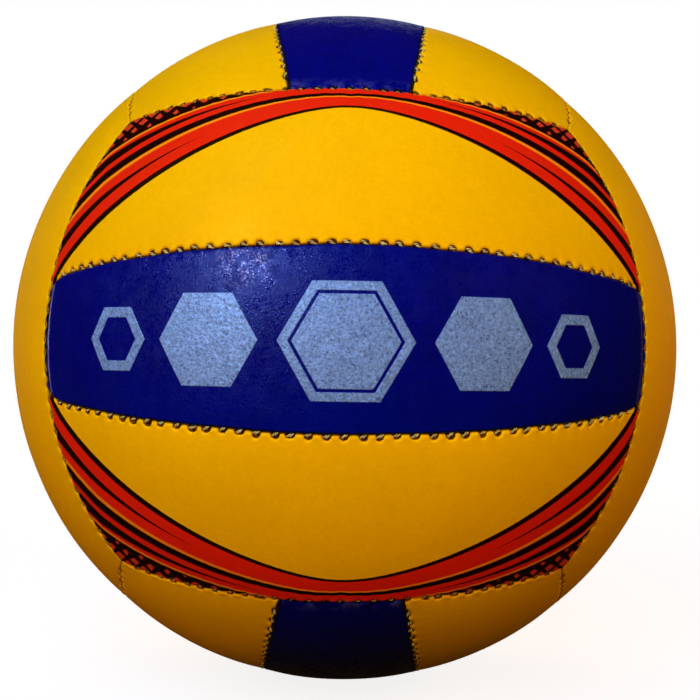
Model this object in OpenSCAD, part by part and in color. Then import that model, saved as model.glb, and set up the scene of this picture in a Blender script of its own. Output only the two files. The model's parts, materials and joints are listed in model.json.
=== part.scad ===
// Indoor volleyball: eighteen stitched cover panels in six faces of three
// parallel strips, over foam pads, cloth linings and an inflated bladder.
// The origin is the ball's centre. The front face looks along -Y, its strips
// run along X, and the needle port opens along +X.

/* [Ball] */
// Outside diameter of the inflated ball
ball_d = 210; // [200:1:216]
// Thickness of the cover material
cover_t = 0.8; // [0.6:0.1:1.2]
// Thickness of the foam pad under each cover panel
foam_t = 2.6; // [1.5:0.1:3.5]
// Thickness of the cloth glued under each foam pad
lining_t = 0.5; // [0.3:0.1:0.8]
// Wall thickness of the bladder
bladder_t = 1.0; // [0.6:0.1:1.6]

/* [Panel layout] */
// How far the long edges of a face bow inwards at their middle, in degrees of arc
edge_bow = 5.75; // [3:0.25:8]
// Half width of the middle strip at its middle, in degrees of arc
strip_half = 12.5; // [11:0.25:14]
// How much wider the middle strip's half width gets at its ends, in degrees of longitude
strip_flare = 1.05; // [0.5:0.05:2]

/* [Seams] */
// Clearance between the turned-in edges of two panels
seam_gap = 0.1; // [0.05:0.05:0.3]
// Radius of the rolled edge along each seam
roll_r = 2.4; // [1.8:0.1:3.2]
// Distance from stitch to stitch along a seam
stitch_pitch = 4.24; // [3.5:0.01:6]
// Diameter of the sewing thread
thread_d = 0.6; // [0.4:0.1:0.9]
// Depth of the stitches below the ball's surface
stitch_depth = 1.9; // [1.8:0.1:2.6]

/* [Valve] */
// Radius of the hole that takes the inflation needle
needle_r = 1.1; // [0.9:0.1:1.4]
// Length of that hole
needle_l = 12; // [8:1:16]
// Radius of the self-sealing plug
plug_r = 2.4; // [2:0.1:3]
// Radius of the valve's neck
neck_r = 4.2; // [3.8:0.1:5.5]
// Radius of the valve's base inside the bladder
base_r = 14; // [11:1:18]

/* [Hidden] */

R = ball_d / 2;
g = seam_gap / 2;
cover_in = R - cover_t;                 // inside of the cover
foam_out = cover_in - 0.05;             // outside of the foam
foam_in = foam_out - foam_t;            // inside of the foam
lining_out = foam_in - 0.05;            // outside of the cloth
lining_in = lining_out - lining_t;      // inside of the cloth
bladder_out = lining_in - 0.15;         // outside of the bladder
bladder_in = bladder_out - bladder_t;   // inside of the bladder
foam_edge = g + cover_t + 2 * thread_d - 0.2; // foam's clearance from a seam line
thread_out = g + cover_t + thread_d / 2 + 0.05; // a seam thread's distance from it
thread_low = stitch_depth;              // depth of the thread along each seam
head_x = R - 0.5;                       // outer end of the valve's neck
boss_x = R - 21;                        // inner end of the valve's boss
plug_x = boss_x + 1.5;                  // inner end of the plug
fine = 120;                             // facets to a full turn in a preview
H = R + 12;                             // reach of the cutting cones

// Edge seam between two faces: a small circle through two corners of the cube
// and through its own middle, which lies edge_bow nearer to the face it bounds.
cv = 1 / sqrt(3);
edge_mid = 45 - edge_bow;
edge_tilt = atan((cv - sin(edge_mid)) / (cv - cos(edge_mid)));
edge_half = acos(cv * (cos(edge_tilt) - sin(edge_tilt)));
edge_sweep = atan(cv / (cv * (cos(edge_tilt) + sin(edge_tilt))));

// Strip seam between two panels of one face: a wider small circle.
strip_lat = 47.5;
strip_end = strip_half + strip_flare;
strip_tilt = atan((cos(strip_lat) * sin(strip_end) - sin(strip_half))
                / (cos(strip_lat) * cos(strip_end) - cos(strip_half)));
strip_axis_c = cos(strip_tilt) * sin(strip_half) - sin(strip_tilt) * cos(strip_half);
strip_half_angle = acos(strip_axis_c);
// Where the strip seam runs out into the edge seam at the face's end.
sa = sin(strip_half_angle) * sin(edge_tilt);
sb = sin(strip_half_angle) * cos(edge_tilt) * cos(strip_tilt);
sc = cos(edge_half) + cos(strip_half_angle) * cos(edge_tilt) * sin(strip_tilt);
strip_sweep = acos(sc / sqrt(sa * sa + sb * sb)) - atan(sa / sb);

yellow = [1.0, 0.74, 0.02];
blue = [0.02, 0.03, 0.42];
foam_c = [0.93, 0.92, 0.88];
cloth_c = [0.86, 0.86, 0.84];
thread_c = [0.9, 0.88, 0.8];
rubber_c = [0.1, 0.1, 0.1];

// ---- placing what is drawn for the front face on the other faces ----
module face(name) {
  if (name == "front") children();
  if (name == "back") mirror([0, 1, 0]) children();
  if (name == "bottom") rotate(120, [1, 1, 1]) children();
  if (name == "top") mirror([0, 0, 1]) rotate(120, [1, 1, 1]) children();
  if (name == "left") rotate(240, [1, 1, 1]) children();
  if (name == "right") mirror([1, 0, 0]) rotate(240, [1, 1, 1]) children();
}

// ---- seam lines of the front face, each drawn about its own +Z axis ----
module on_edge(up) {
  mirror([0, 0, up ? 0 : 1]) rotate([-edge_tilt, 0, 0]) children();
}
module on_strip(up) {
  mirror([0, 0, up ? 0 : 1]) rotate([-strip_tilt, 0, 0]) children();
}
module on_end(left) {
  mirror([left ? 0 : 1, 0, 0]) mirror([0, 1, 0]) rotate(240, [1, 1, 1])
    rotate([-edge_tilt, 0, 0]) children();
}

// Everything inside an edge seam's cone, grown by t square to its surface
module cone(t) {
  translate([0, 0, -t / sin(edge_half)])
    cylinder(h = H, r1 = 0, r2 = H * tan(edge_half), $fn = fine);
}

// Everything beyond a strip seam's plane, starting t above it
module beyond(t) {
  translate([-H, -H, R * cos(strip_half_angle) + t]) cube([2 * H, 2 * H, H]);
}

// Ring along a seam that leaves both its lips rolled over to radius r.
// a is the seam circle's angle from its axis, sweep half its length.
module groove(a, r, sweep) {
  c = 0.97 * roll_r;
  rotate([0, 0, -90 - sweep]) rotate_extrude(angle = 2 * sweep, $fn = fine)
    rotate(-a) difference() {
      translate([-c, R - c]) square([2 * c, c + 2]);
      translate([-c, R - c]) circle(r, $fn = 40);
      translate([c, R - c]) circle(r, $fn = 40);
    }
}
module edge_groove(r) { groove(edge_half, r, edge_sweep + 5); }
module strip_groove(r) { groove(strip_half_angle, r, strip_sweep + 4); }

module ball(r) { sphere(r, $fn = fine); }

// One panel's space: between two radii, t clear of each seam line. The kind is
// "upper" or "middle".
module plain_field(kind, r_out, r_in, t) {
  intersection() {
    if (kind == "upper") difference() {
      intersection() {
        difference() { ball(r_out); ball(r_in); }
        on_strip(true) beyond(t);
      }
      on_edge(true) cone(t);
    }
    if (kind == "middle") difference() {
      difference() { ball(r_out); ball(r_in); }
      on_strip(true) beyond(-t);
      on_strip(false) beyond(-t);
    }
    on_end(true) cone(-t);
    on_end(false) cone(-t);
  }
}

// The same space with its edges rolled over to radius r
module field(kind, r_out, r_in, t, r) {
  difference() {
    difference() {
      plain_field(kind, r_out, r_in, t);
      on_strip(true) strip_groove(r);
      if (kind == "upper") on_edge(true) edge_groove(r);
      if (kind == "middle") on_strip(false) strip_groove(r);
    }
    on_end(true) edge_groove(r);
    on_end(false) edge_groove(r);
  }
}

// Cover panel: a thin skin with its edges rolled over and turned inwards
module skin(kind) {
  difference() {
    field(kind, R, lining_in, g, roll_r);
    field(kind, cover_in, lining_in - 1, g + cover_t, roll_r - cover_t);
  }
}
module pad(kind) { field(kind, foam_out, foam_in, foam_edge, roll_r - cover_t - 0.05); }
module cloth(kind) { plain_field(kind, lining_out, lining_in, g + cover_t + 0.1); }

module layer(row, what) {
  if (row == "lower") mirror([0, 0, 1]) layer("upper", what);
  else {
    if (what == "skin") skin(row);
    if (what == "pad") pad(row);
    if (what == "cloth") cloth(row);
  }
}

// ---- round hole along +X through the layers over the valve ----
module port_hole(r) {
  translate([R - 20, 0, 0]) rotate([0, 90, 0]) cylinder(h = 30, r = r, $fn = 64);
}

module cover(f, row) {
  color(row == "middle" ? blue : yellow)
    if (f == "right" && row == "middle") difference() {
      face(f) layer(row, "skin");
      port_hole(neck_r + 0.1);
    }
    else face(f) layer(row, "skin");
}
module foam(f, row) {
  color(foam_c)
    if (f == "right" && row == "middle") difference() {
      face(f) layer(row, "pad");
      port_hole(neck_r + 0.6);
    }
    else face(f) layer(row, "pad");
}
module lining(f) {
  color(cloth_c)
    difference() {
      face(f) { layer("upper", "cloth"); layer("middle", "cloth"); layer("lower", "cloth"); }
      if (f == "right") port_hole(neck_r + 0.3);
    }
}

// ---- sewing thread ----
// One seam's stitching: a thread along each side of the turned-in edges, and a
// cross stitch through both of them at every step.
module stitching(a, sweep) {
  n = floor(2 * sweep * PI / 180 * R * sin(a) / stitch_pitch);
  step = 2 * sweep / n;
  rr = R - thread_low;
  bar = thread_out - thread_d / 2 - 0.03;
  for (side = [-1, 1])
    rotate([0, 0, -90 - sweep + step / 2])
      rotate_extrude(angle = 2 * sweep - step, $fn = fine)
        rotate(-a) translate([side * thread_out, rr]) circle(d = thread_d, $fn = 16);
  for (i = [0 : n - 1])
    rotate([0, 0, -90 - sweep + step * (i + 0.5)]) rotate([0, a, 0])
      translate([-bar, 0, R - stitch_depth]) rotate([0, 90, 0])
        cylinder(h = 2 * bar, d = thread_d, $fn = 16);
}
module strip_thread(f) {
  color(thread_c) face(f) {
    on_strip(true) stitching(strip_half_angle, strip_sweep - 1.5);
    on_strip(false) stitching(strip_half_angle, strip_sweep - 1.5);
  }
}
module edge_thread(f, f2) {
  color(thread_c) {
    face(f) { on_edge(true) stitching(edge_half, edge_sweep - 1.5); on_edge(false) stitching(edge_half, edge_sweep - 1.5); }
    face(f2) { on_edge(true) stitching(edge_half, edge_sweep - 1.5); on_edge(false) stitching(edge_half, edge_sweep - 1.5); }
  }
}

// ---- bladder and valve ----
module bladder() {
  color(rubber_c) difference() {
    ball(bladder_out);
    ball(bladder_in);
    port_hole(neck_r + 0.05);
  }
}

// Moulded rubber valve: a dished base bonded to the bladder's inside, a neck
// that fills the port in the cover, and a boss that holds the plug
module valve_body() {
  color([0.16, 0.16, 0.17]) rotate([0, 90, 0]) rotate_extrude($fn = 96) difference() {
    union() {
      intersection() {
        difference() {
          circle(bladder_in - 0.02, $fn = fine);
          circle(bladder_in - 1.8, $fn = fine);
        }
        translate([0, R - 40]) square([base_r, 60]);
      }
      translate([0, boss_x]) square([neck_r, head_x - boss_x]);
      translate([0, boss_x]) square([neck_r + 2, bladder_in - 1 - boss_x]);
    }
    translate([-1, plug_x - 0.05]) square([plug_r + 1.02, 40]);
  }
}

// Self-sealing plug: the needle hole runs in from its outer end
module valve_plug() {
  color([0.22, 0.22, 0.23]) translate([plug_x, 0, 0]) rotate([0, 90, 0])
    difference() {
      cylinder(h = head_x - 0.4 - plug_x, r = plug_r, $fn = 64);
      translate([0, 0, head_x - 0.4 - plug_x - needle_l]) cylinder(h = needle_l + 1, r = needle_r, $fn = 64);
    }
}

cover("front", "upper");  // front_upper_panel
cover("front", "middle");  // front_middle_panel
cover("front", "lower");  // front_lower_panel
cover("back", "upper");  // back_upper_panel
cover("back", "middle");  // back_middle_panel
cover("back", "lower");  // back_lower_panel
cover("top", "lower");  // top_left_panel
cover("top", "middle");  // top_middle_panel
cover("top", "upper");  // top_right_panel
cover("bottom", "lower");  // bottom_left_panel
cover("bottom", "middle");  // bottom_middle_panel
cover("bottom", "upper");  // bottom_right_panel
cover("left", "lower");  // left_front_panel
cover("left", "middle");  // left_middle_panel
cover("left", "upper");  // left_rear_panel
cover("right", "lower");  // right_front_panel
cover("right", "middle");  // right_middle_panel
cover("right", "upper");  // right_rear_panel
foam("front", "upper");  // front_upper_foam
foam("front", "middle");  // front_middle_foam
foam("front", "lower");  // front_lower_foam
foam("back", "upper");  // back_upper_foam
foam("back", "middle");  // back_middle_foam
foam("back", "lower");  // back_lower_foam
foam("top", "lower");  // top_left_foam
foam("top", "middle");  // top_middle_foam
foam("top", "upper");  // top_right_foam
foam("bottom", "lower");  // bottom_left_foam
foam("bottom", "middle");  // bottom_middle_foam
foam("bottom", "upper");  // bottom_right_foam
foam("left", "lower");  // left_front_foam
foam("left", "middle");  // left_middle_foam
foam("left", "upper");  // left_rear_foam
foam("right", "lower");  // right_front_foam
foam("right", "middle");  // right_middle_foam
foam("right", "upper");  // right_rear_foam
lining("front");  // front_lining
lining("back");  // back_lining
lining("top");  // top_lining
lining("bottom");  // bottom_lining
lining("left");  // left_lining
lining("right");  // right_lining
strip_thread("front");  // front_strip_thread
strip_thread("back");  // back_strip_thread
strip_thread("top");  // top_strip_thread
strip_thread("bottom");  // bottom_strip_thread
strip_thread("left");  // left_strip_thread
strip_thread("right");  // right_strip_thread
edge_thread("front", "back");  // crosswise_edge_thread
edge_thread("top", "bottom");  // lengthwise_edge_thread
edge_thread("left", "right");  // upright_edge_thread
bladder();
valve_body();
valve_plug();
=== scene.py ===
"""Volleyball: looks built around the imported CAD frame. Lengths in the mesh code are in mm until the last step."""
import json
import math
import bpy
import numpy as np
from mathutils import Matrix, Vector


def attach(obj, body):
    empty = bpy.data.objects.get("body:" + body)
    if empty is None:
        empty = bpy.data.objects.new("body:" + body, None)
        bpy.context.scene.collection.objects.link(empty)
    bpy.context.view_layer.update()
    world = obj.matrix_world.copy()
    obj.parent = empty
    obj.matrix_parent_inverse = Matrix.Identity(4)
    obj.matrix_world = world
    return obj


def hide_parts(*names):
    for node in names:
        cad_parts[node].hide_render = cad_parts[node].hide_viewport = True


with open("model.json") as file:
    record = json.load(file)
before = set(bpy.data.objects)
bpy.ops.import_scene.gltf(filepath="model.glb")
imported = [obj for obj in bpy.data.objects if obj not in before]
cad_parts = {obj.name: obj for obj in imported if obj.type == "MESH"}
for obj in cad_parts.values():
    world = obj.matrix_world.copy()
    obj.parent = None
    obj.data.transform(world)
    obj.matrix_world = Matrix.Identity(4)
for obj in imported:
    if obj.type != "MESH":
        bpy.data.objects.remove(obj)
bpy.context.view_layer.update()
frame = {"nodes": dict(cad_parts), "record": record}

R = 105.0  # outside of the ball
MM = 0.001
TE, AE = math.radians(15.6916), math.radians(66.4416)  # edge seams: tilt of the axis, half angle of the circle
TS, AS = math.radians(10.3153), math.radians(87.8153)  # strip seams
CE, CS = math.cos(AE), math.cos(AS)
HALF_E = math.radians(39.0387) * R * math.sin(AE)  # half length of a seam along the surface
HALF_S = math.radians(49.6872) * R * math.sin(AS)
PITCH = 4.24

ROLL = 0.62  # radius of the turned edge
GAP = 0.03  # each panel stands this far off the seam line
FACES = {
    "front": ("lower", "middle", "upper"),
    "back": ("lower", "middle", "upper"),
    "top": ("left", "middle", "right"),
    "bottom": ("left", "middle", "right"),
    "left": ("front", "middle", "rear"),
    "right": ("front", "middle", "rear"),
}
_ROT120 = np.array([[0, 0, 1], [1, 0, 0], [0, 1, 0]], float)
_ROT240 = np.array([[0, 1, 0], [0, 0, 1], [1, 0, 0]], float)
PLACE = {
    "front": np.eye(3),
    "back": np.diag([1.0, -1, 1]),
    "bottom": _ROT120,
    "top": np.diag([1.0, 1, -1]) @ _ROT120,
    "left": _ROT240,
    "right": np.diag([-1.0, 1, 1]) @ _ROT240,
}
rng = np.random.default_rng(7)


# ---------------------------------------------------------------- seams
# how far each seam was sewn off its circle: (shift, slope), mm
SEWN = {
    ("front_upper", "strip"): (-0.7, 0.1),
    ("front_lower", "strip"): (0.5, 0.1),
    ("front_upper", "edge"): (1.5, 1.6),
    ("front_lower", "edge"): (0.7, 1.2),
    ("left_lower", "edge"): (0.3, -0.6),
    ("right_lower", "edge"): (-0.2, 0.2),
    ("top_lower", "strip"): (-1.3, 0.0),
    ("top_upper", "strip"): (-1.0, 0.0),
    ("bottom_lower", "strip"): (-1.6, 0.0),
    ("bottom_upper", "strip"): (-1.8, 0.0),
}


# how far the blue strip's corners are drawn in at the +t and -t ends of a strip seam, mm
DRAWN = {"front_upper": (1.5, 3.2), "front_lower": (2.6, 3.0)}


class Seam:
    """A circle seam: axis n, the direction m of its middle, its run t; half angle a. Inside is nearer the axis."""

    def __init__(self, name, kind, n, m, t, a, half):
        self.name, self.kind, self.a, self.half = name, kind, a, half
        self.n, self.m, self.t = n, m, t
        self.count = int(round(2 * half / PITCH)) - 2
        k = np.arange(self.count)
        self.s = (k - (self.count - 1) / 2) * PITCH + rng.uniform(-0.32, 0.32, self.count)
        self.deep = rng.uniform(0.62, 1.12, self.count)
        self.wide = rng.uniform(0.8, 1.2, self.count)
        self.turn = rng.uniform(0.85, 1.3, self.count)
        self.long = rng.uniform(0.8, 1.12, self.count)
        self.size = rng.uniform(0.82, 1.14, self.count)
        self.skew = rng.uniform(-0.3, 0.3, self.count)
        self.low = np.maximum(rng.uniform(-0.5, 0.55, self.count), 0.0)
        self.soil = rng.uniform(0.0, 0.6, self.count) ** 1.3 + (0.15 if kind == "edge" else 0.0)
        self.side = rng.uniform(-0.16, 0.16, self.count)
        self.ph = rng.uniform(0, 2 * math.pi, 4)
        self.amp = rng.uniform(0.5, 1.0, 4)

    def where(self, d):
        """Arc length along the seam and signed distance from it, outside positive, of unit directions d."""
        th = np.arccos(np.clip(d @ self.n, -1, 1))
        psi = np.arctan2(d @ self.t, d @ self.m)
        return psi * R * math.sin(self.a), (th - self.a) * R

    def nearest(self, s):
        k = np.clip(np.searchsorted(0.5 * (self.s[1:] + self.s[:-1]), s), 0, self.count - 1)
        return k, s - self.s[k]

    def wander(self, s):
        """How far the sewn line leaves its circle, outside positive."""
        k, ds = self.nearest(s)
        fade = np.clip((self.half - np.abs(s)) / 9.0, 0, 1)
        fade = fade * fade * (3 - 2 * fade)
        slow = (
            self.amp[0] * np.sin(s / 11.0 + self.ph[0])
            + self.amp[1] * np.sin(s / 6.3 + self.ph[1])
            + 0.6 * self.amp[2] * np.sin(s / 3.1 + self.ph[2])
        )
        lean = -1.0 if self.kind == "edge" else 1.0
        scallop = lean * (0.5 - np.cos(2 * math.pi * np.clip(np.abs(ds) / PITCH, 0, 0.5)))
        u = np.clip(s / self.half, -1, 1)
        base, slope = SEWN.get((self.name, self.kind), (-0.7 if self.kind == "strip" else 0.0, 0.0))
        return fade * (0.12 * slow + 0.13 * scallop) + (base + slope * u) * (1 - np.abs(u) ** 3)

    def point(self, s, q):
        """Unit direction at arc length s and signed distance q outside the seam."""
        psi = s / (R * math.sin(self.a))
        th = self.a + q / R
        u = np.outer(np.cos(psi), self.m) + np.outer(np.sin(psi), self.t)
        return np.cos(th)[:, None] * self.n + np.sin(th)[:, None] * u


SEAMS = []
for face, M in PLACE.items():
    for sgn, word in ((1, "upper"), (-1, "lower")):
        for kind, tau, al, half in (("strip", TS, AS, HALF_S), ("edge", TE, AE, HALF_E)):
            n = np.array([0, math.sin(tau), sgn * math.cos(tau)])
            m = np.array([0, -math.cos(tau), sgn * math.sin(tau)])
            t = np.array([1.0, 0, 0])
            SEAMS.append(Seam(f"{face}_{word}", kind, M @ n, M @ m, M @ t, al, half))


def seam_with(n, kind):
    best = max((s for s in SEAMS if s.kind == kind), key=lambda s: float(s.n @ n))
    assert best.n @ n > 0.9999
    return best


# ---------------------------------------------------------------- panel grids
def phi_s(lam):
    return TS + np.arcsin(np.clip(CS / np.cos(lam), -1, 1))


def phi_e(lam):
    return TE + np.arcsin(np.clip(CE / np.cos(lam), -1, 1))


def end_of(phi):
    A = math.sin(TE)
    B = math.cos(TE) * np.cos(phi)
    return np.arccos(np.clip(CE / np.sqrt(A * A + B * B), -1, 1)) - np.arctan(A / B)


BAND = np.concatenate([ROLL * (1 - np.cos(np.radians([0, 24, 46, 68, 90]))), [1.12, 1.42, 1.8, 2.3, 3.0, 4.0, 5.4, 7.2]])
PATCH = np.array([0, 0.9, 1.8, 2.6, 3.3, 3.85, 4.2, 4.35, 4.42, 4.55, 4.75, 5.05, 5.5, 6.1, 6.9, 7.9, 9.1, 10.5, 12.0, 13.5])


def lines(length, step, patch=False):
    """Grid lines across a panel as (a, b): the line lies a + b x the panel's width from one side."""
    D = BAND[-1]
    out = [(v, 0.0) for v in BAND]
    if patch:
        # the lines round the valve draw together where the strip narrows
        c = D + 1.0
        near = [(-v * c / (length / 2 - c), 0.5 + 0.5 * v / (length / 2 - c)) for v in (-PATCH[::-1]).tolist() + PATCH[1:].tolist()]
        n = max(2, int(round((length / 2 - D - PATCH[-1]) / step)))
        w = np.arange(1, n) / n
        lo, hi = near[0], near[-1]
        out += [(D * (1 - x) + lo[0] * x, lo[1] * x) for x in w]
        out += near
        out += [(hi[0] * (1 - x) - D * x, hi[1] * (1 - x) + x) for x in w]
    else:
        n = max(2, int(round((length - 2 * D) / step)))
        w = np.arange(1, n) / n
        out += [(D * (1 - 2 * x), x) for x in w]
    out += [(-v, 1.0) for v in BAND[::-1]]
    return np.array(out)


def smooth(x):
    x = np.clip(x, 0, 1)
    return x * x * (3 - 2 * x)


WAVES = [(rng.normal(size=3), rng.uniform(0, 2 * math.pi)) for _ in range(14)]


def lumps(d, salt):
    """Slow unevenness of the puffed panels, about -1 to 1."""
    total = np.zeros(len(d))
    for i, (k, ph) in enumerate(WAVES):
        k = k / np.linalg.norm(k)
        f = 6.0 + 2.1 * i
        total += np.sin(d @ k * f + ph + salt * 1.7 * (i + 1)) / (1 + 0.22 * i)
    return total / 3.6


def art_curve():
    x = np.linspace(-88, 88, 1201)
    u = (np.sqrt(x * x + 100) - 10) / (math.sqrt(88 * 88 + 100) - 10)
    return x, 40.0 * (1 - u) * (1 + 0.35 * u)


def curve_distance(X, Y):
    """Signed distance outside the yellow lens, in mm."""
    cx, cy = art_curve()
    best = np.full(len(X), 1e9)
    for i in range(0, len(X), 4000):
        dx = X[i : i + 4000, None] - cx[None]
        dy = Y[i : i + 4000, None] - cy[None]
        best[i : i + 4000] = np.sqrt((dx * dx + dy * dy).min(1))
    inside = Y < np.interp(X, cx, cy, left=-1, right=-1)
    return np.where(inside, -best, best)


def build_panel(face, row):
    M = PLACE[face]
    which = FACES[face].index(row) - 1  # -1 lower, 0 middle, 1 upper
    hole = face == "right" and row == "middle"
    cols = lines(2 * HALF_S, 0.42, hole)
    rows_ = lines(2 * R * float(phi_s(0.0)) if which == 0 else 52.0, 0.45, hole)
    if which == 0 and not hole:
        rows_ = lines(32.0, 0.42)
    nc, nr = len(cols), len(rows_)
    # solve each grid point in the front face's own frame
    ca, cb = cols[:, 0][None, :], cols[:, 1][None, :]
    ra, rb = rows_[:, 0][:, None], rows_[:, 1][:, None]
    lam = np.broadcast_to(cb * 2 - 1, (nr, nc)) * math.radians(45)
    phi = np.broadcast_to(rb, (nr, nc)) * 0.4
    for _ in range(30):
        if which == 0:
            lo, hi = -phi_s(lam), phi_s(lam)
        else:
            lo, hi = phi_s(lam), phi_e(lam)
        T = R * np.cos(lam) * (hi - lo)
        phi = lo + (ra + rb * T) / (R * np.cos(lam))
        L = end_of(phi)
        W = 2 * L * R
        lam = -L + (ca + cb * W) / R
    d = np.stack([np.sin(lam), -np.cos(lam) * np.cos(phi), np.cos(lam) * np.sin(phi)], -1)
    if which < 0:
        d = d * np.array([1, 1, -1.0])
    X = R * lam
    Y = R * np.cos(lam) * (phi - (phi_s(lam) if which else 0))
    if hole:
        m = np.maximum(np.abs(X), np.abs(Y))
        rad = np.hypot(X, Y) + 1e-9
        w = 1 - smooth((m - 7.0) / (PATCH[-1] - 7.0))
        X = X * (1 + w * (m / rad - 1))
        Y = Y * (1 + w * (m / rad - 1))
        lam, phi = X / R, Y / (R * np.cos(X / R))
        d = np.stack([np.sin(lam), -np.cos(lam) * np.cos(phi), np.cos(lam) * np.sin(phi)], -1)
    d = d.reshape(-1, 3) @ M.T
    X, Y = X.ravel(), Y.ravel()

    sg = -1 if which < 0 else 1
    ends = [seam_with(M @ np.array([e * math.sin(TE), -math.cos(TE), 0]), "edge") for e in (1, -1)]
    if which == 0:
        sides = [seam_with(M @ np.array([0, math.sin(TS), e * math.cos(TS)]), "strip") for e in (-1, 1)]
        outs = [True, True, False, False]
    else:
        sides = [
            seam_with(M @ np.array([0, math.sin(TS), sg * math.cos(TS)]), "strip"),
            seam_with(M @ np.array([0, math.sin(TE), sg * math.cos(TE)]), "edge"),
        ]
        outs = [False, True, False, False]
    four = sides + ends
    q, s, g = [], [], []
    for seam, out in zip(four, outs):
        si, qi = seam.where(d)
        v = seam.n - (d @ seam.n)[:, None] * d
        v /= np.linalg.norm(v, axis=1)[:, None]
        q.append(np.maximum(qi if out else -qi, 0))
        s.append(si)
        g.append(-v if out else v)
    roll = [0.60 if which == 0 and i < 2 else 0.44 if seam.kind == "edge" else ROLL for i, seam in enumerate(four)]
    t = [np.clip(1 - x / r_, 0, 1) for x, r_ in zip(q, roll)]
    tv, th = np.maximum(t[0], t[1]), np.maximum(t[2], t[3])
    rho2 = tv**2 + th**2 - (tv * th) ** 2
    small = np.where(tv >= th, np.where(t[0] >= t[1], roll[0], roll[1]), np.where(t[2] >= t[3], roll[2], roll[3]))
    drop = small * (1 - np.sqrt(np.clip(1 - rho2, 0, 1)))
    shift = np.zeros_like(d)
    for i, tt, other in ((0, tv, th), (1, tv, th), (2, th, tv), (3, th, tv)):
        mine = (t[i] > 0) & (t[i] >= t[i ^ 1])
        move = (tt - tt * np.sqrt(1 - other**2 / 2)) * roll[i]
        shift += g[i] * (move * mine)[:, None]

    crown = np.ones(len(d))
    notch_all = np.zeros(len(d))
    tidy = np.zeros(len(d))
    for i, (seam, out) in enumerate(zip(four, outs)):
        qi, si = q[i], s[i]
        crown *= 1 - np.exp(-qi / 5.5) * 0.95
        k, ds = seam.nearest(si)
        near = (qi < 14) & (np.abs(si) < seam.half + 1)
        off = smooth((seam.half - 1.0 - np.abs(si)) / 2.0)
        # gathered skin between the stitches, and the notch that each stitch pulls
        pk = 0.045 * np.cos(2 * math.pi * np.clip(ds / PITCH, -0.5, 0.5)) * np.exp(-qi / 2.2)
        lip = (0.08 if out or seam.kind == "strip" else 0.15) * np.exp(-(((qi - 0.8) / 0.5) ** 2)) * (1 - np.exp(-((np.abs(ds) / 1.1) ** 2)))
        big = not out and seam.kind == "strip"
        if big:
            reach, width, deep = (1.28 if face in ("front", "back") else 1.0) * seam.size[k], 1.22 * seam.wide[k], 0.85 * seam.deep[k]
        elif seam.kind == "strip":
            reach, width, deep = 0.42, 1.0 * seam.wide[k], 0.5 * seam.deep[k]
        elif out or (which and seam.name.startswith(face)):
            reach, width, deep = 0.5, 0.9 * seam.wide[k], 0.5 * seam.deep[k]
        else:
            reach, width, deep = 1.2 * seam.size[k], 1.1 * seam.wide[k], 0.56 * seam.deep[k]
        lopsided = ds + seam.skew[k] * qi
        u = ((np.abs(lopsided) / width) ** 2.6 + (qi / reach) ** 2.6) ** (1 / 2.6)
        notch = 1 - smooth((u - 0.70) / 0.42)
        drop += off * near * (pk - lip + deep * notch + 0.10 * np.exp(-((u / 1.5) ** 2)))
        notch_all = np.maximum(notch_all, off * near * notch)
        # the sewn line wanders, both panels with it
        shift += g[i] * ((1 if out else -1) * seam.wander(si) * np.exp(-qi / 4.0))[:, None]
        shift += g[i] * (GAP * np.exp(-qi / 1.0))[:, None]
        tidy = np.maximum(tidy, np.exp(-qi / 1.4))
        if seam.kind == "strip":  # the blue strip's corners are drawn in
            far = np.clip((seam.half - np.abs(si)) / 8.0, 0, 1)
            pull = (1 - far) ** 2.4 * np.where(si > 0, *DRAWN.get(seam.name, (2.4, 2.4) if face in ("left", "right", "back") else (0.2, 0.2)))
            shift += g[i] * ((1 if out else -1) * pull * np.exp(-qi / 6.0))[:, None]
    drop += 0.34 * (1 - crown)
    drop -= 0.10 * lumps(d, PLACES.index(face) * 3 + which)

    wall = np.zeros(len(d))
    if hole:  # the leather is cut round the valve and turned in
        rr = np.hypot(X, Y)
        drop += 0.28 * np.exp(-((rr / 6.2) ** 4))
        lipr = 0.55
        u = np.clip(1 - (rr - 4.35) / lipr, 0, 1)
        drop += lipr * (1 - np.sqrt(1 - u * u))
        wall = np.exp(-((np.maximum(rr - 4.35, 0) / 0.35) ** 2))
        tidy = np.maximum(tidy, wall)

    flat = d * R + shift
    flat = flat / np.linalg.norm(flat, axis=1)[:, None]
    outer = flat * (R - drop)[:, None]

    idx = np.arange(nr * nc).reshape(nr, nc)
    quads = np.stack([idx[:-1, :-1], idx[:-1, 1:], idx[1:, 1:], idx[1:, :-1]], -1).reshape(-1, 4)
    verts = [outer]
    faces = []
    count = len(outer)
    # hole, seam and drop carry the stitch holes, the seam groove and the depth that the covers' painted shade darkens
    attrs = {"hole": [notch_all], "seam": [tidy], "drop": [drop]}
    if which == 0:  # masks for the painted shade in the fold's gap and the painted highlight on its crest at the strip's ends, drawn as wear, most at one end of the front one; worn also places the painted glints
        worn = np.zeros(len(d))
        if face == "front":
            worn = np.where(X < 0, 1.0, 0.15)
        attrs["ends"], attrs["worn"] = [np.minimum(q[2], q[3])], [worn]
        # painted shade: a dark band along the strip's side seams, where its turned edge lies in shadow
        edge = [np.clip(1 - (q[i] - wide_) / 0.3, 0, 1) for i, wide_ in ((0, 0.72), (1, 0.3 if face == "front" else 0.72))]
        attrs["soot"] = [np.maximum(*edge)]
    more = {}
    if which and face in ("front", "back"):
        wd = curve_distance(X, Y)
        more["wing"] = wd
    elif which == 0 and face in ("front", "back"):
        more["wing"] = np.zeros(len(X))
    if more:
        more["ax"], more["ay"] = X.copy(), Y.copy()
        for k_, v_ in more.items():
            attrs[k_] = [v_]

    def add(points, like):
        """Adds a copy of the vertices `like` at points, and their attributes."""
        nonlocal count
        first = count
        verts.append(points)
        for a_ in attrs.values():
            a_.append(np.concatenate(a_)[like])
        count += len(points)
        return first

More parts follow.
